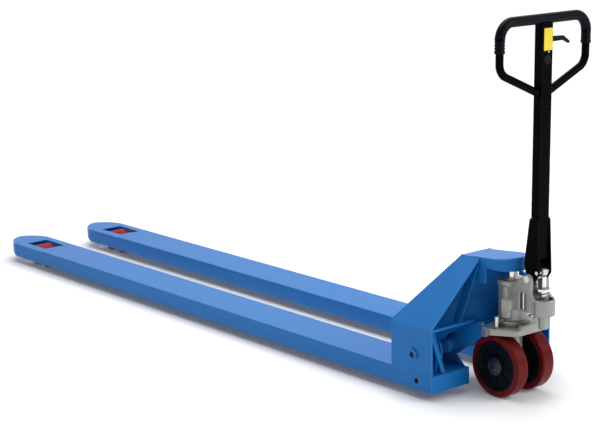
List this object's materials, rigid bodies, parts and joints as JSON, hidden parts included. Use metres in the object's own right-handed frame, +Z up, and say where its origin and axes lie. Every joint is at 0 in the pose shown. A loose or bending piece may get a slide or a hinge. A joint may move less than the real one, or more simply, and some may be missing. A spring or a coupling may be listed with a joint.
{
  "type": "hand pallet truck",
  "caption": "Hydraulic hand pallet truck with extra long forks, a steered pump unit, tandem load rollers and an upright handle with a release lever.",
  "frame": {"origin": "on the floor, at the middle of the truck's outer box with the forks lowered and the handle upright", "axes": "+Y along the forks towards their tips, +X to the operator's right, +Z up"},
  "size_m": [0.554, 2.896, 1.2008],
  "materials": {
    "blue_paint": "satin powder coat",
    "cast_metal": "silver painted casting",
    "black_paint": "satin powder coat",
    "bright_steel": "zinc plated",
    "bronze": "machined bronze",
    "grip": "moulded sleeve",
    "lever_plastic": "moulded",
    "wheel_tread": "cast polyurethane",
    "roller_tread": "cast polyurethane",
    "hub_plastic": "moulded nylon",
    "roller_core": "moulded nylon"
  },
  "bodies": {
    "base": {"base_plate": "cast_metal", "steer_bearing": "bronze", "base_pins": "bright_steel", "hold_down_posts": "bright_steel"},
    "chassis": {"fork_left": "blue_paint", "fork_right": "blue_paint", "nose_left": "blue_paint", "nose_right": "blue_paint", "heel_left": "blue_paint", "heel_right": "blue_paint", "shoulder_left": "blue_paint", "shoulder_right": "blue_paint", "head_cap": "blue_paint", "back_panel": "blue_paint", "chassis_gussets": "blue_paint", "rocker_bolts": "bright_steel", "piston_rod": "bright_steel", "bracket_pins": "bright_steel"},
    "rocker": {"rocker_frame": "blue_paint", "rocker_bushes": "bronze", "rod_pins": "bright_steel"},
    "push_rod_left": {"push_rod_left": "bright_steel"},
    "push_rod_right": {"push_rod_right": "bright_steel"},
    "bracket_left": {"roller_bracket_left": "blue_paint"},
    "bracket_right": {"roller_bracket_right": "blue_paint"},
    "bogie_pins_left": {"bogie_pins_left": "bright_steel"},
    "bogie_pins_right": {"bogie_pins_right": "bright_steel"},
    "bogie_left": {"bogie_left": "bright_steel"},
    "bogie_right": {"bogie_right": "bright_steel"},
    "pump": {"pump_body": "cast_metal", "pump_gland": "bright_steel", "steer_axle": "bright_steel", "snap_rings": "bright_steel", "plunger_spring": "bright_steel", "pump_screws": "bright_steel"},
    "valve_arm": {"valve_arm": "bright_steel"},
    "plunger": {"plunger": "bright_steel"},
    "wheel_left": {"tyre_left": "wheel_tread", "wheel_hub_left": "hub_plastic", "wheel_bearings_left": "bright_steel"},
    "wheel_right": {"tyre_right": "wheel_tread", "wheel_hub_right": "hub_plastic", "wheel_bearings_right": "bright_steel"},
    "handle": {"handle_yoke": "black_paint", "handle_tube": "black_paint", "handle_ring": "black_paint", "handle_grips": "grip", "handle_axle": "bright_steel", "roller_pin": "bright_steel"},
    "press_roller": {"press_roller": "bright_steel"},
    "release_lever": {"release_lever": "lever_plastic"},
    "release_rod": {"release_rod": "bright_steel"},
    "roller_left_rear": {"tread_left_rear": "roller_tread", "core_left_rear": "roller_core"},
    "roller_left_front": {"tread_left_front": "roller_tread", "core_left_front": "roller_core"},
    "roller_right_rear": {"tread_right_rear": "roller_tread", "core_right_rear": "roller_core"},
    "roller_right_front": {"tread_right_front": "roller_tread", "core_right_front": "roller_core"}
  },
  "joints": [
    {"name": "lift", "type": "slide", "parent": "base", "child": "chassis", "axis": [0, 0, 1], "range_m": [0, 0.115]},
    {"name": "rocker_turn", "type": "hinge", "parent": "chassis", "child": "rocker", "pos_m": [0, -1.115, 0.142], "axis": [1, 0, 0], "range_deg": [-0.5, 43.09]},
    {"name": "push_rod_left_turn", "type": "hinge", "parent": "rocker", "child": "push_rod_left", "pos_m": [-0.1875, -1.128, 0.058], "axis": [1, 0, 0], "range_deg": [-44.88, 0.5]},
    {"name": "bracket_left_turn", "type": "hinge", "parent": "chassis", "child": "bracket_left", "pos_m": [-0.1875, 1.373, 0.062], "axis": [1, 0, 0], "range_deg": [-0.5, 54.73]},
    {"name": "bogie_pins_left_turn", "type": "hinge", "parent": "bracket_left", "child": "bogie_pins_left", "pos_m": [-0.1875, 1.22, 0.04], "axis": [1, 0, 0], "range_deg": [-54.73, 0.5]},
    {"name": "bogie_left_rock", "type": "hinge", "parent": "bogie_pins_left", "child": "bogie_left", "pos_m": [-0.1875, 1.22, 0.04], "axis": [1, 0, 0], "range_deg": [-5, 5]},
    {"name": "roller_left_rear_spin", "type": "hinge", "parent": "bogie_left", "child": "roller_left_rear", "pos_m": [-0.1875, 1.178, 0.04], "axis": [1, 0, 0], "continuous": true},
    {"name": "roller_left_front_spin", "type": "hinge", "parent": "bogie_left", "child": "roller_left_front", "pos_m": [-0.1875, 1.262, 0.04], "axis": [1, 0, 0], "continuous": true},
    {"name": "push_rod_right_turn", "type": "hinge", "parent": "rocker", "child": "push_rod_right", "pos_m": [0.1875, -1.128, 0.058], "axis": [1, 0, 0], "range_deg": [-44.88, 0.5]},
    {"name": "bracket_right_turn", "type": "hinge", "parent": "chassis", "child": "bracket_right", "pos_m": [0.1875, 1.373, 0.062], "axis": [1, 0, 0], "range_deg": [-0.5, 54.73]},
    {"name": "bogie_pins_right_turn", "type": "hinge", "parent": "bracket_right", "child": "bogie_pins_right", "pos_m": [0.1875, 1.22, 0.04], "axis": [1, 0, 0], "range_deg": [-54.73, 0.5]},
    {"name": "bogie_right_rock", "type": "hinge", "parent": "bogie_pins_right", "child": "bogie_right", "pos_m": [0.1875, 1.22, 0.04], "axis": [1, 0, 0], "range_deg": [-5, 5]},
    {"name": "roller_right_rear_spin", "type": "hinge", "parent": "bogie_right", "child": "roller_right_rear", "pos_m": [0.1875, 1.178, 0.04], "axis": [1, 0, 0], "continuous": true},
    {"name": "roller_right_front_spin", "type": "hinge", "parent": "bogie_right", "child": "roller_right_front", "pos_m": [0.1875, 1.262, 0.04], "axis": [1, 0, 0], "continuous": true},
    {"name": "steering", "type": "hinge", "parent": "base", "child": "pump", "pos_m": [0, -1.285, 0.2329], "axis": [0, 0, 1], "range_deg": [-100, 100]},
    {"name": "wheel_left_spin", "type": "hinge", "parent": "pump", "child": "wheel_left", "pos_m": [-0.05875, -1.285, 0.1], "axis": [1, 0, 0], "continuous": true},
    {"name": "wheel_right_spin", "type": "hinge", "parent": "pump", "child": "wheel_right", "pos_m": [0.05875, -1.285, 0.1], "axis": [1, 0, 0], "continuous": true},
    {"name": "handle_tilt", "type": "hinge", "parent": "pump", "child": "handle", "pos_m": [0, -1.383, 0.3919], "axis": [1, 0, 0], "range_deg": [0, 85], "stiffness_Nm_per_rad": 25, "springref_deg": -28.65},
    {"name": "pump_stroke", "type": "slide", "parent": "pump", "child": "plunger", "axis": [0, 0, 1], "range_m": [-0.04401, 0.0005], "deforming": ["plunger_spring"]},
    {"name": "press_roller_spin", "type": "hinge", "parent": "handle", "child": "press_roller", "pos_m": [0, -1.40731, 0.41152], "axis": [1, 0, 0], "continuous": true},
    {"name": "lever_squeeze", "type": "hinge", "parent": "handle", "child": "release_lever", "pos_m": [0.014, -1.39445, 1.12081], "axis": [0, 0.9999, 0.0157], "range_deg": [-14, 14], "stiffness_Nm_per_rad": 4},
    {"name": "release_pull", "type": "slide", "parent": "handle", "child": "release_rod", "axis": [0, -0.0157, 0.9999], "range_m": [-0.004, 0.004]},
    {"name": "valve_turn", "type": "hinge", "parent": "pump", "child": "valve_arm", "pos_m": [0, -1.337, 0.3449], "axis": [1, 0, 0], "range_deg": [-6, 6]}
  ],
  "couplings": [
    {"joint": "rocker_turn", "follows": "lift", "rad_per_m": 6.4632},
    {"joint": "push_rod_left_turn", "follows": "lift", "rad_per_m": -6.7347},
    {"joint": "bracket_left_turn", "follows": "lift", "rad_per_m": 8.2304},
    {"joint": "bogie_pins_left_turn", "follows": "lift", "rad_per_m": -8.2304},
    {"joint": "push_rod_right_turn", "follows": "lift", "rad_per_m": -6.7347},
    {"joint": "bracket_right_turn", "follows": "lift", "rad_per_m": 8.2304},
    {"joint": "bogie_pins_right_turn", "follows": "lift", "rad_per_m": -8.2304},
    {"joint": "pump_stroke", "follows": "handle_tilt", "m_per_rad": -0.029332},
    {"joint": "release_pull", "follows": "lever_squeeze", "m_per_rad": 0.014},
    {"joint": "valve_turn", "follows": "lever_squeeze", "ratio": -0.36842}
  ]
}
